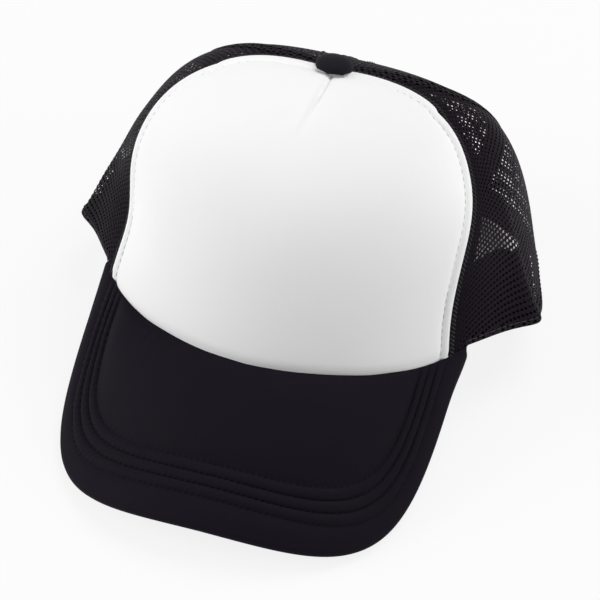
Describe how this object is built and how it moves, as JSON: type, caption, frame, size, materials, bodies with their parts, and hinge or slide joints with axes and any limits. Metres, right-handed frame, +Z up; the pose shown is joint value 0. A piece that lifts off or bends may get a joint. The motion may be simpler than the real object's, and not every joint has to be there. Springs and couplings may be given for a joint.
{
  "type": "trucker mesh cap",
  "caption": "Peaked cap with a padded foam front, see-through mesh sides and back, a stiff curved visor, a cloth-covered top button and a snap strap under a half-moon opening.",
  "frame": {"origin": "centre of the head opening, level with the crown rim at the sides", "axes": "+Z up as the cap stands on a table on its visor edge and rear rim, -Y towards the visor, +X towards the left side of the person who wears it"},
  "size_m": [0.2124, 0.2323, 0.1242],
  "materials": {
    "foam_front": "matte white knit laminated on foam",
    "mesh": "black warp-knit nylon mesh with small staggered holes",
    "tape": "black woven seam tape",
    "padding": "thin black foam sheet",
    "sweatband": "black woven cotton band",
    "visor_board": "moulded sheet",
    "visor_cloth": "black foam-backed cloth with rows of stitches",
    "button_cloth": "black cloth drawn over the button",
    "button_shell": "plain pressed metal",
    "strap": "moulded black plastic, satin",
    "white_thread": "pale sewing thread",
    "black_thread": "black sewing thread"
  },
  "bodies": {
    "root": {"back_seam_tape": "tape", "button_core": "button_shell", "button_cover": "button_cloth", "button_rivet": "button_shell", "button_washer": "button_shell", "front_panel": "foam_front", "front_seam_tape_left": "tape", "front_seam_tape_right": "tape", "hole_strap_root": "strap", "rear_mesh_left": "mesh", "rear_mesh_right": "mesh", "rear_opening_binding": "tape", "side_mesh_left": "mesh", "side_mesh_right": "mesh", "side_seam_tape_left": "tape", "side_seam_tape_right": "tape", "stud_strap_root": "strap", "sweatband_cover": "sweatband", "sweatband_padding": "padding", "visor_board": "visor_board", "visor_top_cover": "visor_cloth", "visor_under_cover": "visor_cloth"},
    "hole_strap": {"hole_strap": "strap"},
    "stud_strap": {"stud_strap": "strap"}
  },
  "joints": [
    {"name": "hole_strap_bend", "type": "hinge", "parent": "root", "child": "hole_strap", "pos_m": [-0.039, 0.07565, -0.01566], "axis": [0, 0, 1], "range_deg": [0, 100]},
    {"name": "stud_strap_bend", "type": "hinge", "parent": "root", "child": "stud_strap", "pos_m": [0.039, 0.074, -0.01566], "axis": [0, 0, 1], "range_deg": [0, 75]}
  ]
}
